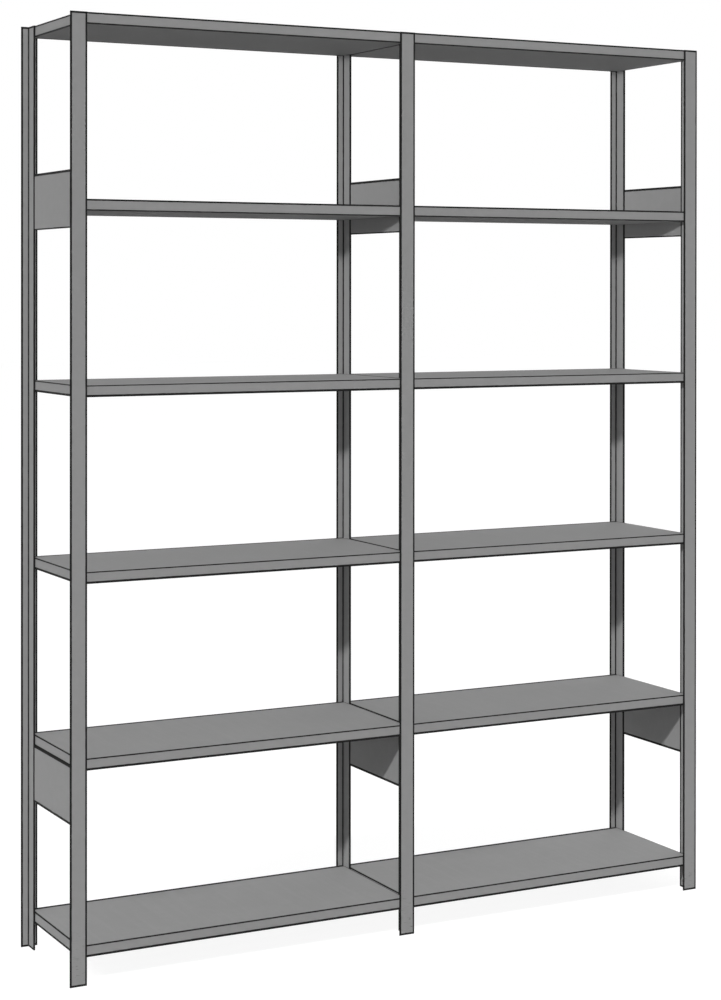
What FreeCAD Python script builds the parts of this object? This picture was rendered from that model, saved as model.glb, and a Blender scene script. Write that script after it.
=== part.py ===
"""Double sided steel library shelving: two bays in a row, open on both long sides.

Three ladder frames stand in a row. Each frame is a front and a rear T-post, flange outward and web
inward, joined by an upper and a lower tie plate that slide into the pocket between the two walls of
the webs and are riveted there. A post is two rolled strips: a flange with both edges hemmed, and a
web folded into a narrow U, its fold welded to the flange between the hems. Each bay carries closed
box shelves. A shelf is a folded pan with a base that closes it from below, and it sits on four clips
that hook into slots in the web walls. The clips hide in notches at the shelf's ends, and the shelf
lifts straight up off them.

Row frame: X along the row, Y from the front face to the rear face, Z up, origin on the floor under
the middle of the row. Sizes are in millimetres.
"""
import FreeCAD, Part
import Sketcher
import os

FRAMES = ("left", "middle", "right")
BAYS = ("left", "right")
LEVELS = 6

# Driving dimensions. Each is written once and everything else is worked out from them.
SIZES = {
    "post_height": 2400.0,         # T-post, floor to top
    "flange_width": 45.0,          # T-post across its flange
    "web_depth": 44.0,             # T-post from the flange's outer face to the web's free edge
    "post_sheet": 1.2,             # sheet that the post's flange and web are rolled from
    "web_bend": 0.3,               # inside radius of the fold between the web's two walls
    "hem_clearance": 0.2,          # free edge of the flange's hem to the web wall
    "plate_sheet": 1.2,            # tie plate, and so the pocket between the web walls
    "plate_height": 145.5,         # tie plate, bottom edge to top edge
    "plate_margin": 385.5,         # tie plate from the nearer end of the post
    "plate_insert": 15.0,          # how far a tie plate reaches into the pocket
    "rivet_diameter": 5.0,
    "rivet_clearance": 0.1,        # rivet hole over rivet, on the diameter
    "rivet_margin": 28.0,          # rivet from the tie plate's top or bottom edge
    "shelf_length": 917.5,
    "shelf_depth": 366.0,
    "shelf_thickness": 29.0,
    "shelf_sheet": 1.0,
    "shelf_bend": 0.5,             # inside radius of the shelf's folds
    "first_level": 98.0,           # top of the lowest shelf above the floor
    "base_lip": 15.0,              # upturned lips of the shelf's base
    "side_clearance": 1.0,         # shelf end to web wall
    "face_clearance": 0.6,         # shelf edge to the inner face of the flange
    "clip_sheet": 1.5,
    "clip_width": 20.0,            # clip along the web
    "clip_inset": 4.0,             # clip from the shelf's long edge
    "clip_bend": 0.5,              # inside radius of the clip's ledge
    "clip_foot": 1.5,              # bottom of the clip above the shelf's underside
    "ledge_reach": 7.2,            # clip's ledge, out from the web wall
    "ledge_drop": 4.0,             # ledge below the shelf's top face
    "hook_first": 4.5,             # lower hook's seat above the shelf's underside
    "hook_pitch": 11.0,            # lower hook to upper hook
    "hook_neck": 4.0,              # height of a hook where it passes through the wall
    "hook_drop": 3.0,              # how far a hook reaches down behind the wall
    "hook_clearance": 0.2,         # play round a hook, in its slot and behind the wall
    "notch_clearance": 1.0,        # play round a clip in the shelf's notch
}

# Values that follow from the driving dimensions, as expressions in the document.
PLACES = {
    "pocket_half": "Sizes.plate_sheet / 2",
    "web_half": "Sizes.plate_sheet / 2 + Sizes.post_sheet",
    "flange_depth": "2 * Sizes.post_sheet",
    "pitch": "Sizes.shelf_length + 2 * Sizes.side_clearance + Sizes.plate_sheet + 2 * Sizes.post_sheet",
    "row_depth": "Sizes.shelf_depth + 4 * Sizes.post_sheet + 2 * Sizes.face_clearance",
    "level_spacing": "(Sizes.post_height - Sizes.first_level) / %d" % (LEVELS - 1),
    "first_base": "Sizes.first_level - Sizes.shelf_thickness",
    "plate_length": "Sizes.shelf_depth + 4 * Sizes.post_sheet + 2 * Sizes.face_clearance"
                    " - 2 * Sizes.web_depth + 2 * Sizes.plate_insert",
    "lower_plate": "Sizes.plate_margin",
    "upper_plate": "Sizes.post_height - Sizes.plate_margin - Sizes.plate_height",
    "rivet_inset": "Sizes.web_depth - Sizes.plate_insert / 2",
    "clip_front": "2 * Sizes.post_sheet + Sizes.face_clearance + Sizes.clip_inset",
    "ledge_top": "Sizes.shelf_thickness - Sizes.ledge_drop",
    "shelf_fold": "Sizes.shelf_sheet + Sizes.shelf_bend",
    "notch_front": "Sizes.clip_inset - Sizes.notch_clearance",
    "notch_width": "Sizes.clip_width + 2 * Sizes.notch_clearance",
    "notch_reach": "Sizes.ledge_reach - Sizes.side_clearance + Sizes.notch_clearance",
}

HALF_TURN = FreeCAD.Rotation(FreeCAD.Vector(0, 0, 1), 180)
NO_TURN = FreeCAD.Rotation()


# ---------------------------------------------------------------- document and sketch helpers

def make_sizes(doc):
    """The spreadsheet of driving dimensions and the set of values that follow from them."""
    sheet = doc.addObject("Spreadsheet::Sheet", "Sizes")
    for row, (alias, size) in enumerate(SIZES.items(), start=1):
        cell = "B%d" % row
        sheet.set(cell, str(size))
        sheet.setAlias(cell, alias)
    doc.recompute()
    places = doc.addObject("App::VarSet", "Places")
    for name, expression in PLACES.items():
        places.addProperty("App::PropertyFloat", name, "Places")
        places.setExpression(name, expression)
    doc.recompute()
    return sheet


def number(doc, expression):
    """The present value of an expression, for a sketch's first guess."""
    return float(doc.Sizes.evalExpression(expression))


def origin_feature(body, role):
    return next(f for f in body.Origin.OriginFeatures if f.Role == role)


def new_sketch(body, name, plane, offset=None):
    """A sketch on one of the body's own origin planes, moved along the plane's normal by offset."""
    sketch = body.newObject("Sketcher::SketchObject", name)
    sketch.AttachmentSupport = (origin_feature(body, plane), [""])
    sketch.MapMode = "FlatFace"
    if offset:
        sketch.setExpression("AttachmentOffset.Base.z", offset)
    return sketch


def fix_point(sketch, geometry, position, x, y=None):
    """Holds a point of the sketch at the given expressions, measured from the sketch's origin."""
    for kind, expression in (("DistanceX", x), ("DistanceY", y)):
        if expression is None:
            continue
        value = number(sketch.Document, expression)
        index = sketch.addConstraint(
            Sketcher.Constraint(kind, -1, 1, geometry, position, value)
        )
        sketch.setExpression("Constraints[%d]" % index, expression)


def point(doc, corner):
    return FreeCAD.Vector(number(doc, corner[0]), number(doc, corner[1]), 0)


def add_arc(sketch, start, end, centre, clockwise):
    """An arc between two corners, and which of its ends is the first corner."""
    doc = sketch.Document
    middle = point(doc, centre)
    first = point(doc, start) - middle
    last = point(doc, end) - middle
    if clockwise:
        first, last = last, first
    zero = FreeCAD.Vector(1, 0, 0)
    up = FreeCAD.Vector(0, 0, 1)
    angles = [zero.getAngle(v) if v.y >= 0 else -zero.getAngle(v) for v in (first, last)]
    circle = Part.Circle(middle, up, first.Length)
    index = sketch.addGeometry(Part.ArcOfCircle(circle, angles[0], angles[1]))
    fix_point(sketch, index, 3, centre[0])
    return (index, 2, 1) if clockwise else (index, 1, 2)


def add_outline(sketch, corners, arcs=None):
    """A closed outline. arcs maps a corner's number to the centre and sense of the arc that leaves it."""
    doc = sketch.Document
    arcs = arcs or {}
    ends = []
    for i, corner in enumerate(corners):
        following = corners[(i + 1) % len(corners)]
        if i in arcs:
            centre, clockwise = arcs[i]
            ends.append(add_arc(sketch, corner, following, centre, clockwise))
        else:
            line = Part.LineSegment(point(doc, corner), point(doc, following))
            ends.append((sketch.addGeometry(line), 1, 2))
    for i, (geometry, start, _) in enumerate(ends):
        before, _, finish = ends[i - 1]
        sketch.addConstraint(Sketcher.Constraint("Coincident", before, finish, geometry, start))
        if i in arcs:
            fix_point(sketch, before, finish, *corners[i])
        else:
            fix_point(sketch, geometry, start, *corners[i])


def add_rectangle(sketch, x_low, x_high, y_low, y_high):
    add_outline(sketch, [(x_low, y_low), (x_high, y_low), (x_high, y_high), (x_low, y_high)])


def add_circle(sketch, x, y, diameter):
    doc = sketch.Document
    circle = Part.Circle(point(doc, (x, y)), FreeCAD.Vector(0, 0, 1), number(doc, diameter) / 2)
    index = sketch.addGeometry(circle)
    fix_point(sketch, index, 3, x, y)
    size = sketch.addConstraint(Sketcher.Constraint("Diameter", index, number(doc, diameter)))
    sketch.setExpression("Constraints[%d]" % size, diameter)


def new_body(doc, label):
    body = doc.addObject("PartDesign::Body", label)
    body.Label = label
    return body


def pad(body, name, sketch, length):
    feature = body.newObject("PartDesign::Pad", name)
    feature.Profile = sketch
    feature.setExpression("Length", length)
    sketch.Visibility = False
    return feature


def pocket(body, name, sketch, length, reverse=False):
    """Cuts against the sketch's normal, or along it when reversed."""
    feature = body.newObject("PartDesign::Pocket", name)
    feature.Profile = sketch
    feature.setExpression("Length", length)
    feature.Reversed = reverse
    sketch.Visibility = False
    return feature


def place(piece, x="0", y="0", z="0", turn=NO_TURN):
    piece.Placement = FreeCAD.Placement(FreeCAD.Vector(0, 0, 0), turn)
    for axis, expression in (("x", x), ("y", y), ("z", z)):
        piece.setExpression("Placement.Base.%s" % axis, expression)


def must_lose(body, feature, before):
    """A cut has to remove something."""
    body.Document.recompute()
    if feature.Shape.Volume >= before - 1:
        raise RuntimeError("%s: %s cuts nothing" % (body.Label, feature.Label))


# ---------------------------------------------------------------- T-post

def flange_section(body):
    """Section of the flange: its face on Y = 0, and both edges folded back flat up to the web."""
    sketch = new_sketch(body, "Section", "XY_Plane")
    edge = "Sizes.flange_width / 2 - Sizes.post_sheet"
    hem = "Places.web_half + Sizes.hem_clearance"
    inside = "Sizes.post_sheet"
    back = "Places.flange_depth"
    half = [(edge, "0"), (edge, back), (hem, back), (hem, inside)]
    other = [("-(%s)" % x, y) for x, y in reversed(half)]
    arcs = {
        0: ((edge, inside), False),
        6: (("-(%s)" % edge, inside), False),
    }
    add_outline(sketch, half + other, arcs)
    return sketch


def web_section(body):
    """Section of the web: two walls along +Y with a pocket between them, their fold on the flange."""
    sketch = new_sketch(body, "Section", "XY_Plane")
    outer = "Places.web_half"
    inner = "Places.pocket_half"
    flat = "Places.pocket_half - Sizes.web_bend"
    seat = "Sizes.post_sheet"
    pocket_end = "2 * Sizes.post_sheet"
    fold = "2 * Sizes.post_sheet + Sizes.web_bend"
    free = "Sizes.web_depth"
    half = [
        (flat, seat), (outer, fold), (outer, free), (inner, free), (inner, fold), (flat, pocket_end),
    ]
    other = [("-(%s)" % x, y) for x, y in reversed(half)]
    arcs = {
        0: ((flat, fold), False),
        4: ((flat, fold), True),
        6: (("-(%s)" % flat, fold), True),
        10: (("-(%s)" % flat, fold), False),
    }
    add_outline(sketch, half + other, arcs)
    return sketch


def clip_slots(body, side):
    """Narrow slots for the clips' hooks, through one web wall, at every shelf level."""
    near = side == "plus"
    face = "Places.web_half" if near else "-Places.web_half"
    tab = "Places.clip_front"
    if not near:
        tab = "Places.clip_front + Sizes.clip_width - Sizes.clip_sheet"
    sketch = new_sketch(body, "Slots_%s" % side, "YZ_Plane", face)
    for step in range(2):
        seat = "Places.first_base + Sizes.hook_first + %d * Sizes.hook_pitch" % step
        add_rectangle(
            sketch,
            "%s - Sizes.hook_clearance" % tab,
            "%s + Sizes.clip_sheet + Sizes.hook_clearance" % tab,
            seat,
            "%s + Sizes.hook_neck + Sizes.hook_drop + Sizes.hook_clearance" % seat,
        )
    depth = "Sizes.post_sheet + Places.pocket_half"
    cut = pocket(body, "Slot_pair_%s" % side, sketch, depth, reverse=not near)
    rows = body.newObject("PartDesign::LinearPattern", "Slot_rows_%s" % side)
    rows.Originals = [cut]
    rows.Direction = (origin_feature(body, "Z_Axis"), [""])
    rows.setExpression("Length", "Sizes.post_height - Sizes.first_level")
    rows.Occurrences = LEVELS
    body.Tip = rows
    return rows


def rivet_heights():
    """Heights of the rivets above the floor: two for each tie plate."""
    heights = []
    for plate in ("Places.lower_plate", "Places.upper_plate"):
        heights.append("%s + Sizes.rivet_margin" % plate)
        heights.append("%s + Sizes.plate_height - Sizes.rivet_margin" % plate)
    return heights


def place_post_piece(body, frame, face):
    """The rear posts are the front ones turned about, so that every web points inward."""
    x = "%d * Places.pitch" % (FRAMES.index(frame) - 1)
    if face == "front":
        place(body, x, "-Places.row_depth / 2")
    else:
        place(body, x, "Places.row_depth / 2", turn=HALF_TURN)


def make_post_flange(doc, frame, face):
    body = new_body(doc, "%s_%s_post_flange" % (frame, face))
    pad(body, "Rolled", flange_section(body), "Sizes.post_height")
    place_post_piece(body, frame, face)
    return body


def make_post_web(doc, frame, face):
    """The web, with slots for the clips on the sides that have a bay, and holes for the rivets."""
    body = new_body(doc, "%s_%s_post_web" % (frame, face))
    rolled = pad(body, "Rolled", web_section(body), "Sizes.post_height")
    doc.recompute()
    whole = rolled.Shape.Volume
    bays = {"left": ["plus"], "middle": ["plus", "minus"], "right": ["minus"]}[frame]
    if face == "rear":
        bays = [{"plus": "minus", "minus": "plus"}[side] for side in bays]
    for side in bays:
        rows = clip_slots(body, side)
        must_lose(body, rows, whole)
        whole = rows.Shape.Volume
    sketch = new_sketch(body, "Rivet_places", "YZ_Plane", "Places.web_half")
    for height in rivet_heights():
        add_circle(
            sketch, "Places.rivet_inset", height,
            "Sizes.rivet_diameter + Sizes.rivet_clearance",
        )
    holes = pocket(body, "Rivet_holes", sketch, "2 * Places.web_half")
    must_lose(body, holes, whole)
    place_post_piece(body, frame, face)
    return body


# ---------------------------------------------------------------- tie plates and their rivets

def make_tie_plate(doc, frame, height):
    """A flat plate in the plane of the webs, its ends in the pockets of the two posts."""
    body = new_body(doc, "%s_%s_tie_plate" % (frame, height))
    sketch = new_sketch(body, "Blank", "YZ_Plane", "-Places.pocket_half")
    reach = "Places.plate_length / 2"
    add_rectangle(sketch, "-(%s)" % reach, reach, "0", "Sizes.plate_height")
    blank = pad(body, "Plate", sketch, "Sizes.plate_sheet")
    doc.recompute()
    whole = blank.Shape.Volume
    sketch = new_sketch(body, "Rivet_places", "YZ_Plane", "Places.pocket_half")
    rivet_y = "Places.row_depth / 2 - Places.rivet_inset"
    for y in ("-(%s)" % rivet_y, rivet_y):
        for z in ("Sizes.rivet_margin", "Sizes.plate_height - Sizes.rivet_margin"):
            add_circle(sketch, y, z, "Sizes.rivet_diameter + Sizes.rivet_clearance")
    holes = pocket(body, "Rivet_holes", sketch, "Sizes.plate_sheet")
    must_lose(body, holes, whole)
    x = "%d * Places.pitch" % (FRAMES.index(frame) - 1)
    place(body, x, "0", "Places.%s_plate" % height)
    return body


def make_rivet(doc):
    """A rivet set flush with both web walls, along X, centred on the web."""
    rivet = doc.addObject("Part::Cylinder", "Rivet")
    rivet.setExpression("Radius", "Sizes.rivet_diameter / 2")
    rivet.setExpression("Height", "2 * Places.web_half")
    rivet.Placement = FreeCAD.Placement(
        FreeCAD.Vector(0, 0, 0), FreeCAD.Rotation(FreeCAD.Vector(0, 1, 0), 90)
    )
    rivet.setExpression("Placement.Base.x", "-Places.web_half")
    return rivet


def make_rivet_places(doc, rivet):
    """Copies of the rivet at the ends of both tie plates of one frame."""
    copies = []
    rivet_y = "Places.row_depth / 2 - Places.rivet_inset"
    for face, y in (("front", "-(%s)" % rivet_y), ("rear", rivet_y)):
        for step, z in enumerate(rivet_heights(), start=1):
            copy = doc.addObject("App::Link", "Rivet_%s_%d" % (face, step))
            copy.LinkedObject = rivet
            copy.LinkTransform = True
            place(copy, "0", y, z)
            copies.append(copy)
    return copies


def make_rivets(doc, frame, copies):
    group = doc.addObject("Part::Compound", "%s_frame_rivets" % frame)
    group.Label = "%s_frame_rivets" % frame
    group.Links = copies
    place(group, "%d * Places.pitch" % (FRAMES.index(frame) - 1))
    return group


# ---------------------------------------------------------------- shelf clips

def make_clip(doc):
    """The clip, on the +X wall of a web whose flange is at Y = 0, with the shelf's underside at Z = 0.

    A leg lies against the wall, a ledge carries the shelf, and a tab folded from the leg's edge has
    two hooks that pass through the wall's slots and reach down behind it.
    """
    body = new_body(doc, "Clip")
    wall = "Places.web_half"
    leg = "Places.web_half + Sizes.clip_sheet"
    reach = "Places.web_half + Sizes.ledge_reach"
    top = "Places.ledge_top"
    under = "Places.ledge_top - Sizes.clip_sheet"
    foot = "Sizes.clip_foot"
    # The outline of the folded leg and ledge, seen along Y.
    outer_fold = "Places.web_half + 2 * Sizes.clip_bend"
    outer_drop = "Places.ledge_top - 2 * Sizes.clip_bend"
    inner_fold = "%s + Sizes.clip_bend" % leg
    inner_drop = "%s - Sizes.clip_bend" % under
    sketch = new_sketch(body, "Leg_and_ledge", "XZ_Plane", "-(Places.clip_front + Sizes.clip_width)")
    corners = [
        (wall, foot), (leg, foot), (leg, inner_drop), (inner_fold, under),
        (reach, under), (reach, top), (outer_fold, top), (wall, outer_drop),
    ]
    arcs = {
        2: ((inner_fold, inner_drop), True),
        6: ((outer_fold, outer_drop), False),
    }
    add_outline(sketch, corners, arcs)
    pad(body, "Folded", sketch, "Sizes.clip_width")
    # The tab with its two hooks, folded from the leg's edge that is nearer to the flange.
    sketch = new_sketch(body, "Hooks", "XZ_Plane", "-(Places.clip_front + Sizes.clip_sheet)")
    tip = "-(Places.pocket_half - Sizes.hook_clearance)"
    behind = "Places.pocket_half - Sizes.hook_clearance / 2"
    for step in range(2):
        seat = "Sizes.hook_first + %d * Sizes.hook_pitch" % step
        neck = "%s + Sizes.hook_neck" % seat
        drop = "%s - Sizes.hook_drop" % seat
        add_outline(sketch, [
            (leg, seat), (leg, neck), (tip, neck), (tip, drop), (behind, drop), (behind, seat),
        ])
    pad(body, "Hooked", sketch, "Sizes.clip_sheet")
    return body


def make_clip_places(doc, clip):
    """Copies of the clip at the four corners of a bay, with the bay's middle at X = Y = 0."""
    half = "Places.pitch / 2"
    edge = "Places.row_depth / 2"
    swap = "(2 * Places.clip_front + Sizes.clip_width)"
    corners = (
        ("front_left", "-%s" % half, "-%s" % edge, NO_TURN),
        ("front_right", half, "-%s + %s" % (edge, swap), HALF_TURN),
        ("rear_left", "-%s" % half, "%s - %s" % (edge, swap), NO_TURN),
        ("rear_right", half, edge, HALF_TURN),
    )
    copies = []
    for name, x, y, turn in corners:
        copy = doc.addObject("App::Link", "Clip_%s" % name)
        copy.LinkedObject = clip
        place(copy, x, y, "0", turn)
        copies.append(copy)
    return copies


# ---------------------------------------------------------------- shelves

def shelf_place(bay, level):
    """X and Z of a shelf, whose own origin is the middle of its underside. Level 1 is the lowest."""
    side = {"left": "-", "right": ""}[bay]
    x = "%sPlaces.pitch / 2" % side
    z = "Places.first_base + %d * Places.level_spacing" % (level - 1)
    return x, z


def end_cuts(body, name, plane_offset, reach):
    """Sketch of the four cuts round the clips, each open at the shelf's end."""
    sketch = new_sketch(body, name, "XY_Plane", plane_offset)
    end = "Sizes.shelf_length / 2"
    near = "Sizes.shelf_depth / 2 - Places.notch_front"
    far = "Sizes.shelf_depth / 2 - Places.notch_front - Places.notch_width"
    inside = "%s - %s" % (end, reach)
    for x_low, x_high in ((inside, end), ("-(%s)" % end, "-(%s)" % inside)):
        for y_low, y_high in ((far, near), ("-(%s)" % near, "-(%s)" % far)):
            add_rectangle(sketch, x_low, x_high, y_low, y_high)
    return sketch


def make_shelf_pan(doc, bay, level):
    """The shelf's top and its four skirts, folded from one sheet and open below."""
    body = new_body(doc, "%s_shelf_%d_pan" % (bay, level))
    length = "Sizes.shelf_length / 2"
    depth = "Sizes.shelf_depth / 2"
    sketch = new_sketch(body, "Outside", "XY_Plane")
    add_rectangle(sketch, "-%s" % length, length, "-%s" % depth, depth)
    block = pad(body, "Block", sketch, "Sizes.shelf_thickness")
    doc.recompute()
    folds = body.newObject("PartDesign::Fillet", "Folds")
    names = ["Edge%d" % i for i, edge in enumerate(block.Shape.Edges, start=1)
             if edge.BoundBox.ZMax > block.Shape.BoundBox.ZMin + 1]
    folds.Base = (block, names)
    folds.setExpression("Radius", "Places.shelf_fold")
    sketch = new_sketch(body, "Inside", "XY_Plane")
    add_rectangle(
        sketch,
        "-(%s - Sizes.shelf_sheet)" % length, "%s - Sizes.shelf_sheet" % length,
        "-(%s - Sizes.shelf_sheet)" % depth, "%s - Sizes.shelf_sheet" % depth,
    )
    hollow = pocket(body, "Hollow", sketch, "Sizes.shelf_thickness - Sizes.shelf_sheet", reverse=True)
    must_lose(body, hollow, block.Shape.Volume / 2)
    sketch = end_cuts(body, "Clip_notches", None, "Sizes.shelf_sheet")
    notches = pocket(body, "Notches", sketch, "Places.ledge_top", reverse=True)
    must_lose(body, notches, hollow.Shape.Volume)
    x, z = shelf_place(bay, level)
    place(body, x, "0", z)
    return body


def make_shelf_base(doc, bay, level):
    """The tray that closes the pan from below, its lips against the pan's long skirts."""
    body = new_body(doc, "%s_shelf_%d_base" % (bay, level))
    inside = "(Sizes.shelf_length / 2 - Sizes.shelf_sheet)"
    sketch = new_sketch(body, "Channel", "YZ_Plane", "-%s" % inside)
    edge = "Sizes.shelf_depth / 2 - Sizes.shelf_sheet"
    lip = "Sizes.shelf_depth / 2 - 2 * Sizes.shelf_sheet"
    fold = "Sizes.shelf_depth / 2 - Sizes.shelf_sheet - Places.shelf_fold"
    half = [
        (fold, "0"), (edge, "Places.shelf_fold"), (edge, "Sizes.base_lip"),
        (lip, "Sizes.base_lip"), (lip, "Sizes.shelf_sheet"),
    ]
    other = [("-(%s)" % y, z) for y, z in reversed(half)]
    arcs = {
        0: ((fold, "Places.shelf_fold"), False),
        8: (("-(%s)" % fold, "Places.shelf_fold"), False),
    }
    add_outline(sketch, half + other, arcs)
    channel = pad(body, "Folded", sketch, "2 * %s" % inside)
    doc.recompute()
    sketch = end_cuts(body, "Clip_openings", None, "Places.notch_reach")
    openings = pocket(body, "Openings", sketch, "Sizes.base_lip", reverse=True)
    must_lose(body, openings, channel.Shape.Volume)
    x, z = shelf_place(bay, level)
    place(body, x, "0", z)
    return body


def make_shelf_clips(doc, bay, level, copies):
    """The four clips of one shelf, as separate solids in one group."""
    group = doc.addObject("Part::Compound", "%s_shelf_%d_clips" % (bay, level))
    group.Label = "%s_shelf_%d_clips" % (bay, level)
    group.Links = copies
    x, z = shelf_place(bay, level)
    place(group, x, "0", z)
    return group


# ---------------------------------------------------------------- whole object

def make_pieces(doc):
    """Every separate piece of the object, as objects whose labels name them."""
    pieces = []
    rivet_places = make_rivet_places(doc, make_rivet(doc))
    for frame in FRAMES:
        for face in ("front", "rear"):
            pieces.append(make_post_flange(doc, frame, face))
            pieces.append(make_post_web(doc, frame, face))
        for height in ("lower", "upper"):
            pieces.append(make_tie_plate(doc, frame, height))
        pieces.append(make_rivets(doc, frame, rivet_places))
    clip_places = make_clip_places(doc, make_clip(doc))
    for bay in BAYS:
        for level in range(1, LEVELS + 1):
            pieces.append(make_shelf_pan(doc, bay, level))
            pieces.append(make_shelf_base(doc, bay, level))
            pieces.append(make_shelf_clips(doc, bay, level, clip_places))
    return pieces


def check(doc, pieces):
    """Stops if any object failed to recompute or any piece has no valid shape."""
    for item in doc.Objects:
        if "Invalid" in item.State or "Error" in item.State:
            raise RuntimeError("%s did not recompute: %s" % (item.Label, item.State))
    for piece in pieces:
        shape = piece.Shape
        if shape.isNull() or not shape.isValid() or not shape.Solids:
            raise RuntimeError("%s has no valid solid" % piece.Label)


def main():
    doc = FreeCAD.newDocument("library_shelving")
    make_sizes(doc)
    pieces = make_pieces(doc)
    doc.recompute()
    check(doc, pieces)
    os.makedirs("parts", exist_ok=True)
    for piece in pieces:
        piece.Shape.exportStep("parts/%s.step" % piece.Label)
    box = FreeCAD.BoundBox()
    for piece in pieces:
        box.add(piece.Shape.BoundBox)
    print("%d pieces, %.1f x %.1f x %.1f mm" % (len(pieces), box.XLength, box.YLength, box.ZLength))


main()
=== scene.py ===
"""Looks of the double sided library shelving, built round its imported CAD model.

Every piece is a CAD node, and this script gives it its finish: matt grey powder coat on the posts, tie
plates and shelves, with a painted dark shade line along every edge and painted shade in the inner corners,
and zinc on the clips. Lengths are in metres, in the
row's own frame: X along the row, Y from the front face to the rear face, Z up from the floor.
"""
import math

import bpy
from mathutils import Matrix, Vector


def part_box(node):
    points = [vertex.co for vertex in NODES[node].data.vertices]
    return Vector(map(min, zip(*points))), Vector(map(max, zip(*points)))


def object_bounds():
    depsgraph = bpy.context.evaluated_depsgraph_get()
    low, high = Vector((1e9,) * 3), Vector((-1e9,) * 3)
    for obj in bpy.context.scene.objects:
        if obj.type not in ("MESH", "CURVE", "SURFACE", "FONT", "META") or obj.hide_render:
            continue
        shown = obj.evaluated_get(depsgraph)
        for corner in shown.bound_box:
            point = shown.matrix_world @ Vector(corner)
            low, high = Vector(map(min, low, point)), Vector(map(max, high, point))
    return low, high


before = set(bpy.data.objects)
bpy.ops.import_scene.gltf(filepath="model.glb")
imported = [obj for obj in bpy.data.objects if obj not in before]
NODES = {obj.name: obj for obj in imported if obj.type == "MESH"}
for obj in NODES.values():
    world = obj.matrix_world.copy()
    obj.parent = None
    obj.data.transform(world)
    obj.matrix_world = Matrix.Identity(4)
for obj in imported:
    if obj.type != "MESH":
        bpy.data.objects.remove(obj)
cad_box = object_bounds()

MM = 0.001

# Camera, level to within a degree and turned so that the left end and the front face both show.
CAMERA_PLACE = Vector((-2.7572, -5.1720, 1.7195))
CAMERA_YAW = -0.48320          # radians, from looking along +Y
CAMERA_PITCH = -0.0037
CAMERA_ROLL = 0.0008
CAMERA_LENS = 77.17            # mm, for a frame 36 mm high
CAMERA_SHIFT = -0.2038         # of the frame's height

# Paint. Colours are linear.
PAINT_GREY = 0.25
EDGE_SHADE_AND_SCUFF_GREY = 0.015         # painted shade along every edge, and also the colour of the shoe scuffs near the floor
DUST_GREY = 0.34
DUST_COVER = 0.10              # the most that lying dust hides of the paint
SCUFF_COVER = 0.45
PAINT_ROUGHNESS = 0.72
EDGE_SHADE_ROUGHNESS = 0.5
DUST_ROUGHNESS = 0.05          # what the thickest dust adds to the paint's
PAINT_SHEEN = 0.02             # the coat is nearly dead matt
PEEL_STRENGTH = 0.35
PEEL_DEPTH = 0.05 * MM

# Patterns in the paint. A scale is in waves to the metre. A fade holds the noise values between which
# a mark comes up.
CLOUD = {"scale": 2.3, "detail": 3.0}
MOTTLE = {"scale": 38.0, "detail": 4.0, "roughness": 0.6}
GRAIN = {"scale": 620.0, "detail": 1.0}
WAVER = {"scale": 55.0, "detail": 3.0}
STREAKS = {"scale": 1.0, "detail": 3.0}
STREAK_SCALES = (90.0, 4.0, 4.0)
STREAK_FADE = (0.42, 0.75)
SCUFFS = {"scale": 1.0, "detail": 4.0, "roughness": 0.7}
SCUFF_SCALES = (60.0, 60.0, 320.0)
SCUFF_FADE = (0.56, 0.70)
SCUFF_HEIGHTS = (0.02, 0.20)   # shoes scuff a post most up to the first height, and not above the second
TONE_SWING = 0.05
GRAIN_SWING = 0.04
ROUGH_SWING = 0.16
LEVEL_FADE = (0.6, 0.95)       # the upward part of the normal, from a folded corner to a level surface

# Zinc.
ZINC_GREY = 0.46
ZINC_ROUGHNESS = 0.38
SPANGLE_SCALE = 420.0
SPANGLE_SWING = 0.10
SPANGLE_CLOUD = {"scale": 160.0}
SPANGLE_ROUGH_SWING = 0.25

# Full widths of the painted dark shade line on each side of an edge. Where there are two, the first is for
# shelves below eye height and the second for those above it.
EDGE_LINE = 4.8 * MM           # posts
FRONT_LINE = 4.4 * MM          # a shelf's top and underside, along its front
REAR_LINE = 14.0 * MM          # the same, along its rear
TOP_FOLD_LINES = (2.4 * MM, 4.2 * MM)     # a shelf's skirts, along the fold to the top
FOOT_SEAM_LINES = (5.4 * MM, 3.0 * MM)    # the same, along the seam with the base
EYE_HEIGHT = 1.7
END_LINE = 3.2 * MM            # a shelf's ends
PLATE_LINE = 6.0 * MM          # a tie plate's edge that is away from the nearest shelf
PLATE_SHELF_LINE = 3.4 * MM    # its other edge, close under that shelf
CREASE_LINE = 1.8 * MM         # painted shade in an inner corner
EDGE_FADE = 0.6 * MM           # the line's soft border
EDGE_WAVER = 0.5 * MM

# Light. A level is the share of a facing surface's own colour that the lamp brings back. The key is a
# strip of lamps along the front of the row, as high as the row. All its lamps shine through one fan,
# turned towards the right end.
KEY_LEVEL = 0.385
KEY_AHEAD = 1.76               # the strip in front of the row
KEY_HEIGHT = 2.41
KEY_TURN = 1.20                # the fan's middle, as metres to the right for each metre ahead
KEY_FAN = 1.10                 # the fan's half width, in the same measure
KEY_SPACING = 0.45
KEY_RADIUS = 0.08
KEY_FLATTEST = 0.3             # the grading stops where its light leaves this close to the strip's plane
FRONT_FILL = {"towards": (0.36, 0.93, 0), "level": 0.14, "spread": 0, "shadow": False}
REAR_SUN = {"towards": (-0.90, -1.0, 0), "level": 0.90, "spread": 20.0, "shadow": True}
CEILING_LEVEL = 0.45           # on the top of the row. It reaches the shelves below more weakly
CEILING_ABOVE = 2.6
CEILING_SIZE = (2.0, 0.4)
SKY_LEVEL = 0.56
FLOOR_BOUNCE = 0.40
FLOOR_GLOW = 0.885             # keeps the floor white to the eye without lighting the object
FLOOR_SHADE = 0.19
FLOOR_SIDE = 80.0
FLOOR_DROP = 0.1 * MM          # the floor lies this far under the feet, so that the two don't flicker


# ---------------------------------------------------------------- node trees

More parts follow.
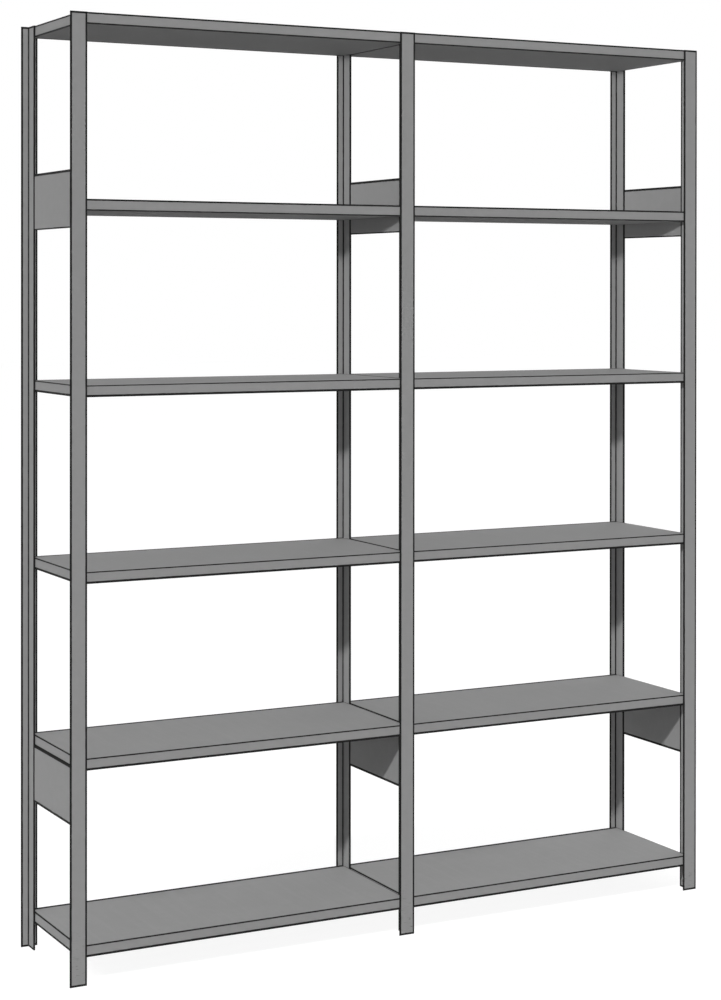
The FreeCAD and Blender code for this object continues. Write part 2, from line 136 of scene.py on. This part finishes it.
class Graph:
    """Short hand for writing a node tree."""

    def __init__(self, tree):
        self.tree = tree

    def node(self, kind, inputs=None, **settings):
        made = self.tree.nodes.new(kind)
        for name, value in settings.items():
            setattr(made, name, value)
        for name, value in (inputs or {}).items():
            self.set(made.inputs[name], value)
        return made

    def set(self, socket, value):
        """Links a socket to another node's output, or writes a plain value on it."""
        if isinstance(value, bpy.types.NodeSocket):
            self.tree.links.new(value, socket)
        else:
            socket.default_value = value

    def math(self, operation, *values):
        made = self.node("ShaderNodeMath", operation=operation)
        for socket, value in zip(made.inputs, values):
            self.set(socket, value)
        return made.outputs[0]

    def median(self, a, b, c):
        """The middle one of three values."""
        lower = self.math("MINIMUM", a, b)
        upper = self.math("MAXIMUM", a, b)
        return self.math("MAXIMUM", lower, self.math("MINIMUM", upper, c))

    def fade(self, value, start, end, at_start=1.0, at_end=0.0):
        """A smooth step from one level to another as the value goes from start to end."""
        made = self.node("ShaderNodeMapRange", interpolation_type="SMOOTHSTEP")
        for name, amount in (("Value", value), ("From Min", start), ("From Max", end),
                             ("To Min", at_start), ("To Max", at_end)):
            self.set(made.inputs[name], amount)
        return made.outputs["Result"]

    def noise(self, place, scale, detail=2.0, roughness=0.5):
        made = self.node("ShaderNodeTexNoise", {
            "Vector": place, "Scale": scale, "Detail": detail, "Roughness": roughness,
        })
        return made.outputs["Fac"]

    def swing(self, value, amount):
        """Noise turned into a factor around 1."""
        return self.math("MULTIPLY_ADD", value, 2 * amount, 1 - amount)

    def mix(self, factor, a, b):
        made = self.node("ShaderNodeMix", data_type="FLOAT")
        self.set(made.inputs[0], factor)
        self.set(made.inputs[2], a)
        self.set(made.inputs[3], b)
        return made.outputs[0]

    def place(self):
        return self.node("ShaderNodeTexCoord").outputs["Object"]

    def facing_up(self):
        """The upward part of the surface's own normal."""
        normal = self.node("ShaderNodeTexCoord").outputs["Normal"]
        return self.axes(normal)[2]

    def axes(self, place):
        made = self.node("ShaderNodeSeparateXYZ", {"Vector": place})
        return made.outputs["X"], made.outputs["Y"], made.outputs["Z"]

    def stretched(self, place, scale):
        made = self.node("ShaderNodeMapping", {"Vector": place, "Scale": scale})
        return made.outputs["Vector"]

    def grey(self, value):
        """A colour with the same value in all three channels."""
        made = self.node("ShaderNodeCombineColor", {"Red": value, "Green": value, "Blue": value})
        return made.outputs["Color"]


def new_material(name):
    """An empty material, and the graph of its nodes."""
    material = bpy.data.materials.new(name)
    material.use_nodes = True
    material.node_tree.nodes.clear()
    return material, Graph(material.node_tree)


# ---------------------------------------------------------------- where the pieces are

def centre_and_half(node):
    low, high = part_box(node)
    return (low + high) / 2, (high - low) / 2


def bay_pitch():
    """Distance from one frame to the next."""
    left, _ = centre_and_half("left_lower_tie_plate")
    middle, _ = centre_and_half("middle_lower_tie_plate")
    return middle.x - left.x


def level_spacing():
    lowest, _ = centre_and_half("left_shelf_1_pan")
    second, _ = centre_and_half("left_shelf_2_pan")
    return second.z - lowest.z


def off_middle(g, value, centre, repeat=None):
    """Distance from a piece's middle plane, which may repeat at a regular step."""
    moved = g.math("SUBTRACT", value, centre)
    if repeat:
        return g.math("PINGPONG", moved, repeat / 2)
    return g.math("ABSOLUTE", moved)


# ---------------------------------------------------------------- edges of each kind of piece
#
# Each gives the distance from the piece's nearest edge, the same on all its copies, scaled so that the
# painted shade line ends at EDGE_LINE. A point on a box's surface is at no distance from the face that it
# is on, so the middle one of its distances from the box's three pairs of faces is that from its nearest
# edge.

def strip_edge(g, place, node):
    """A strip of the posts, which stand in every frame at the front and at the rear."""
    x, y, z = g.axes(place)
    centre, half = centre_and_half(node)
    return g.median(
        g.math("SUBTRACT", half.x, off_middle(g, x, centre.x, bay_pitch())),
        g.math("SUBTRACT", half.y, off_middle(g, g.math("ABSOLUTE", y), abs(centre.y))),
        g.math("SUBTRACT", half.z, off_middle(g, z, centre.z)),
    )


def line_scale(g, height, lines):
    """Scale for a distance whose line has one width below eye height and another above it."""
    low_line, high_line = lines
    return g.mix(g.math("GREATER_THAN", height, EYE_HEIGHT), EDGE_LINE / low_line, EDGE_LINE / high_line)


def shelf_edge(g, place, node, top_lines, foot_lines):
    """A shelf's pan or base, with a line width for each of its edges."""
    x, y, z = g.axes(place)
    centre, half = centre_and_half(node)
    level = g.math("ABSOLUTE", g.facing_up())
    level_scale = g.mix(g.math("GREATER_THAN", y, centre.y), EDGE_LINE / FRONT_LINE, EDGE_LINE / REAR_LINE)
    side_scale = g.fade(level, *LEVEL_FADE, at_start=1.0, at_end=level_scale)
    from_end = g.math("SUBTRACT", half.x, off_middle(g, x, centre.x, bay_pitch()))
    free = level_spacing() - 2 * half.z
    lowest = centre.z - half.z - free / 2
    height = g.math("SUBTRACT", g.math("MODULO", g.math("SUBTRACT", z, lowest), level_spacing()), free / 2)
    below_top = g.math("SUBTRACT", 2 * half.z, height)
    return g.median(
        g.math("MULTIPLY", from_end, EDGE_LINE / END_LINE),
        g.math("MULTIPLY", g.math("SUBTRACT", half.y, off_middle(g, y, centre.y)), side_scale),
        g.math(
            "MINIMUM",
            g.math("MULTIPLY", below_top, line_scale(g, z, top_lines)),
            g.math("MULTIPLY", height, line_scale(g, z, foot_lines)),
        ),
    )


def pan_edge(g, place):
    return shelf_edge(g, place, "left_shelf_1_pan", TOP_FOLD_LINES, FOOT_SEAM_LINES)


def base_edge(g, place):
    return shelf_edge(g, place, "left_shelf_1_base", TOP_FOLD_LINES, TOP_FOLD_LINES)


def flange_edge(g, place):
    return strip_edge(g, place, "middle_front_post_flange")


def flange_crease(g, place):
    """Distance from the inner corner between the back of the flange and the web. The flange's outer half
    is put a metre further off, because it has no such corner."""
    x, y, _ = g.axes(place)
    centre, _ = centre_and_half("middle_front_post_flange")
    _, web_half = centre_and_half("middle_front_post_web")
    aside = g.math("SUBTRACT", off_middle(g, x, centre.x, bay_pitch()), web_half.x)
    outside = g.math("GREATER_THAN", g.math("ABSOLUTE", y), abs(centre.y))
    return g.math("ADD", aside, outside)


def web_edge(g, place):
    return strip_edge(g, place, "middle_front_post_web")


def web_crease(g, place):
    """Distance along the web from the back of the flange."""
    _, y, _ = g.axes(place)
    low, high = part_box("middle_front_post_flange")
    back = min(abs(low.y), abs(high.y))
    return g.math("SUBTRACT", back, g.math("ABSOLUTE", y))


def plate_edge(g, place):
    """A tie plate has only its long edges free. The lower and upper plates mirror each other in height."""
    _, _, z = g.axes(place)
    lower, half = centre_and_half("middle_lower_tie_plate")
    upper, _ = centre_and_half("middle_upper_tie_plate")
    middle = (lower.z + upper.z) / 2
    outward = g.math("SUBTRACT", off_middle(g, z, middle), upper.z - middle)
    return g.math(
        "MINIMUM",
        g.math("MULTIPLY", g.math("SUBTRACT", half.z, outward), EDGE_LINE / PLATE_LINE),
        g.math("MULTIPLY", g.math("ADD", half.z, outward), EDGE_LINE / PLATE_SHELF_LINE),
    )


def plate_crease(g, place):
    """Distance from where the plate slides in between the walls of the web."""
    _, y, _ = g.axes(place)
    low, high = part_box("middle_front_post_web")
    free_edge = min(abs(low.y), abs(high.y))
    return g.math("SUBTRACT", free_edge, g.math("ABSOLUTE", y))


# ---------------------------------------------------------------- materials

def painted(name, edge_of, crease_of=None, dusty=False, scuffed=False):
    """Matt powder coat: orange peel and cloudy tone, with a painted dark shade line along the edges and
    painted shade in the inner corners.
    """
    material, g = new_material(name)
    place = g.place()
    mottle = g.noise(place, **MOTTLE)
    grain = g.noise(place, **GRAIN)
    tone = g.math("MULTIPLY", g.swing(g.noise(place, **CLOUD), TONE_SWING), g.swing(mottle, TONE_SWING))
    grey = g.math("MULTIPLY", g.math("MULTIPLY", tone, g.swing(grain, GRAIN_SWING)), PAINT_GREY)
    rough = g.math("MULTIPLY", g.swing(mottle, ROUGH_SWING), PAINT_ROUGHNESS)

    if dusty:
        lying = g.fade(g.facing_up(), *LEVEL_FADE, at_start=0.0, at_end=1.0)
        streaks = g.noise(g.stretched(place, STREAK_SCALES), **STREAKS)
        streaks = g.fade(streaks, *STREAK_FADE, at_start=0.0, at_end=1.0)
        settled = g.math("MULTIPLY", lying, streaks)
        grey = g.mix(g.math("MULTIPLY", settled, DUST_COVER), grey, DUST_GREY)
        rough = g.math("ADD", rough, g.math("MULTIPLY", settled, DUST_ROUGHNESS))
    if scuffed:
        _, _, height = g.axes(place)
        low = g.fade(height, *SCUFF_HEIGHTS)
        marks = g.noise(g.stretched(place, SCUFF_SCALES), **SCUFFS)
        marks = g.fade(marks, *SCUFF_FADE, at_start=0.0, at_end=SCUFF_COVER)
        grey = g.mix(g.math("MULTIPLY", low, marks), grey, EDGE_SHADE_AND_SCUFF_GREY)

    # Painted shade: a near-black line along every edge of the piece, in place of the shading that edges
    # get.
    waver = g.math("MULTIPLY", g.math("SUBTRACT", g.noise(place, **WAVER), 0.5), 2 * EDGE_WAVER)
    edge_shade = g.fade(g.math("ADD", edge_of(g, place), waver), EDGE_LINE, EDGE_LINE + EDGE_FADE)
    # Painted shade in the inner corners, where flange, web and plate meet.
    if crease_of:
        crease = g.fade(g.math("ADD", crease_of(g, place), waver), CREASE_LINE, CREASE_LINE + EDGE_FADE)
        edge_shade = g.math("MAXIMUM", edge_shade, crease)

    peel = g.node("ShaderNodeBump", {"Strength": PEEL_STRENGTH, "Distance": PEEL_DEPTH, "Height": grain})
    shader = g.node("ShaderNodeBsdfPrincipled", {
        "Base Color": g.grey(g.mix(edge_shade, grey, EDGE_SHADE_AND_SCUFF_GREY)),
        "Roughness": g.mix(edge_shade, rough, EDGE_SHADE_ROUGHNESS),
        "Normal": peel.outputs["Normal"],
        "Specular IOR Level": PAINT_SHEEN,
    })
    g.node("ShaderNodeOutputMaterial", {"Surface": shader.outputs["BSDF"]})
    return material


def zinc():
    """Bright zinc plate with its faint spangle."""
    material, g = new_material("clip_zinc_plate")
    place = g.place()
    spangle = g.node("ShaderNodeTexVoronoi", {"Vector": place, "Scale": SPANGLE_SCALE})
    _, flake, _ = g.axes(spangle.outputs["Color"])
    rough = g.swing(g.noise(place, **SPANGLE_CLOUD), SPANGLE_ROUGH_SWING)
    shader = g.node("ShaderNodeBsdfPrincipled", {
        "Base Color": g.grey(g.math("MULTIPLY", g.swing(flake, SPANGLE_SWING), ZINC_GREY)),
        "Roughness": g.math("MULTIPLY", rough, ZINC_ROUGHNESS),
        "Metallic": 1.0,
    })
    g.node("ShaderNodeOutputMaterial", {"Surface": shader.outputs["BSDF"]})
    return material


def make_materials():
    """One finish for each kind of piece, by the end of the node's name."""
    return {
        "_post_flange": painted("flange_powder_coat", flange_edge, flange_crease, scuffed=True),
        "_post_web": painted("web_powder_coat", web_edge, web_crease, scuffed=True),
        "_tie_plate": painted("plate_powder_coat", plate_edge, plate_crease),
        "_rivets": painted("rivet_powder_coat", web_edge),
        "_pan": painted("pan_powder_coat", pan_edge, dusty=True),
        "_base": painted("base_powder_coat", base_edge),
        "_clips": zinc(),
    }


def dress(materials):
    for name, node in NODES.items():
        finish = next(made for ending, made in materials.items() if name.endswith(ending))
        for slot in node.material_slots:
            slot.material = finish


# ---------------------------------------------------------------- stage

def seen_ray(g):
    """1 for rays that look at the stage straight, in a reflection or through glass."""
    path = g.node("ShaderNodeLightPath").outputs
    mirrored = g.math("MAXIMUM", path["Is Glossy Ray"], path["Is Transmission Ray"])
    return g.math("MAXIMUM", path["Is Camera Ray"], mirrored)


def make_world():
    """White to look at, and a plain soft sky as a light."""
    world = bpy.data.worlds.new("studio")
    bpy.context.scene.world = world
    world.use_nodes = True
    g = Graph(world.node_tree)
    background = g.tree.nodes["Background"]
    background.inputs["Color"].default_value = (1, 1, 1, 1)
    g.set(background.inputs["Strength"], g.mix(seen_ray(g), SKY_LEVEL, 1.0))


def pale(level):
    return (level, level, level, 1)


def either(g, factor, first, second):
    """One shader where the factor is 0, the other where it is 1."""
    made = g.node("ShaderNodeMixShader")
    for socket, value in zip(made.inputs, (factor, first, second)):
        g.set(socket, value)
    return made.outputs[0]


def make_floor():
    """A pale floor that keeps the object's shadow. From below it is clear."""
    mesh = bpy.data.meshes.new("floor")
    side = FLOOR_SIDE / 2
    corners = [(-side, -side, 0), (side, -side, 0), (side, side, 0), (-side, side, 0)]
    mesh.from_pydata(corners, [], [(0, 1, 2, 3)])
    floor = bpy.data.objects.new("floor", mesh)
    floor.location.z = -FLOOR_DROP
    bpy.context.scene.collection.objects.link(floor)
    material, g = new_material("floor")
    bounce = g.node("ShaderNodeBsdfDiffuse", {"Color": pale(FLOOR_BOUNCE)})
    shaded = g.node("ShaderNodeBsdfDiffuse", {"Color": pale(FLOOR_SHADE)})
    glow = g.node("ShaderNodeEmission", {"Strength": FLOOR_GLOW})
    white = g.node("ShaderNodeAddShader")
    g.set(white.inputs[0], shaded.outputs[0])
    g.set(white.inputs[1], glow.outputs[0])
    clear = g.node("ShaderNodeBsdfTransparent")
    below = g.node("ShaderNodeNewGeometry").outputs["Backfacing"]
    top = either(g, seen_ray(g), bounce.outputs[0], white.outputs[0])
    g.node("ShaderNodeOutputMaterial", {"Surface": either(g, below, top, clear.outputs[0])})
    mesh.materials.append(material)


def add_lamp(name, lamp, place=(0, 0, 0)):
    made = bpy.data.objects.new(name, lamp)
    made.location = place
    bpy.context.scene.collection.objects.link(made)
    return made


def grade(lamp):
    """Shapes a lamp of the key. Its fan leans the same way from every lamp, so all frames get the same
    light, and a wall along the row gets it evenly from top to bottom."""
    lamp.use_nodes = True
    g = Graph(lamp.node_tree)
    aside, ahead, _ = g.axes(g.node("ShaderNodeTexCoord").outputs["Normal"])
    ahead = g.math("MAXIMUM", g.math("ABSOLUTE", ahead), KEY_FLATTEST)
    off_fan = g.math("ABSOLUTE", g.math("SUBTRACT", g.math("DIVIDE", aside, ahead), KEY_TURN))
    even = g.node("ShaderNodeLightFalloff", {"Strength": 1.0}).outputs["Constant"]
    fanned = g.math("MULTIPLY", even, g.fade(off_fan, 0.0, KEY_FAN))
    emission = next(node for node in g.tree.nodes if node.type == "EMISSION")
    g.set(emission.inputs["Strength"], g.math("DIVIDE", fanned, ahead))


def key_blockers():
    """The pieces that cast the key's shadow. The posts' own would only smear the shelves' tops."""
    blockers = bpy.data.collections.new("key_blockers")
    for name, node in NODES.items():
        if "_post_" not in name:
            blockers.objects.link(node)
    return blockers


def add_key():
    """The strip is as long as its fan needs to reach both ends of the row from both of its sides."""
    blockers = key_blockers()
    low, high = cad_box
    first = low[0] - (KEY_TURN + KEY_FAN) * KEY_AHEAD
    last = high[0] - (KEY_TURN - KEY_FAN) * KEY_AHEAD
    for number in range(math.ceil((last - first) / KEY_SPACING) + 1):
        name = "key_%d" % (number + 1)
        lamp = bpy.data.lights.new(name, "POINT")
        lamp.energy = KEY_LEVEL * 4 * math.pi ** 2 * KEY_SPACING / (KEY_FAN * KEY_AHEAD)
        lamp.shadow_soft_size = KEY_RADIUS
        grade(lamp)
        key = add_lamp(name, lamp, (first + number * KEY_SPACING, low[1] - KEY_AHEAD, KEY_HEIGHT))
        key.light_linking.blocker_collection = blockers


def add_sun(name, towards, level, spread, shadow):
    """Even light from one side, with no glare on the paint."""
    lamp = bpy.data.lights.new(name, "SUN")
    lamp.energy = level * math.pi
    lamp.angle = math.radians(spread)
    lamp.use_shadow = shadow
    sun = add_lamp(name, lamp)
    sun.rotation_mode = "QUATERNION"
    sun.rotation_quaternion = Vector(towards).to_track_quat("-Z", "Y")
    sun.visible_glossy = False


def add_ceiling():
    """A panel high over the row that fills every shelf's top and casts no shadow."""
    lamp = bpy.data.lights.new("ceiling", "AREA")
    lamp.shape = "RECTANGLE"
    lamp.size, lamp.size_y = CEILING_SIZE
    lamp.energy = CEILING_LEVEL * (math.pi * CEILING_ABOVE) ** 2
    lamp.use_shadow = False
    add_lamp("ceiling", lamp, (0, 0, cad_box[1][2] + CEILING_ABOVE))


def make_camera():
    data = bpy.data.cameras.new("camera")
    data.lens = CAMERA_LENS
    data.shift_y = CAMERA_SHIFT
    data.clip_end = 2 * FLOOR_SIDE
    camera = bpy.data.objects.new("camera", data)
    bpy.context.scene.collection.objects.link(camera)
    ahead = Vector((
        -math.sin(CAMERA_YAW) * math.cos(CAMERA_PITCH),
        math.cos(CAMERA_YAW) * math.cos(CAMERA_PITCH),
        math.sin(CAMERA_PITCH),
    ))
    level = Vector((math.cos(CAMERA_YAW), math.sin(CAMERA_YAW), 0))
    plumb = level.cross(ahead)
    right = math.cos(CAMERA_ROLL) * level + math.sin(CAMERA_ROLL) * plumb
    up = math.cos(CAMERA_ROLL) * plumb - math.sin(CAMERA_ROLL) * level
    turn = Matrix((right, up, -ahead)).transposed()
    camera.matrix_world = Matrix.Translation(CAMERA_PLACE) @ turn.to_4x4()
    bpy.context.scene.camera = camera


# ---------------------------------------------------------------- whole scene

dress(make_materials())
make_world()
make_floor()
add_key()
add_ceiling()
add_sun("front_fill", **FRONT_FILL)
add_sun("rear_sun", **REAR_SUN)
make_camera()
bpy.context.scene.view_settings.view_transform = "Standard"
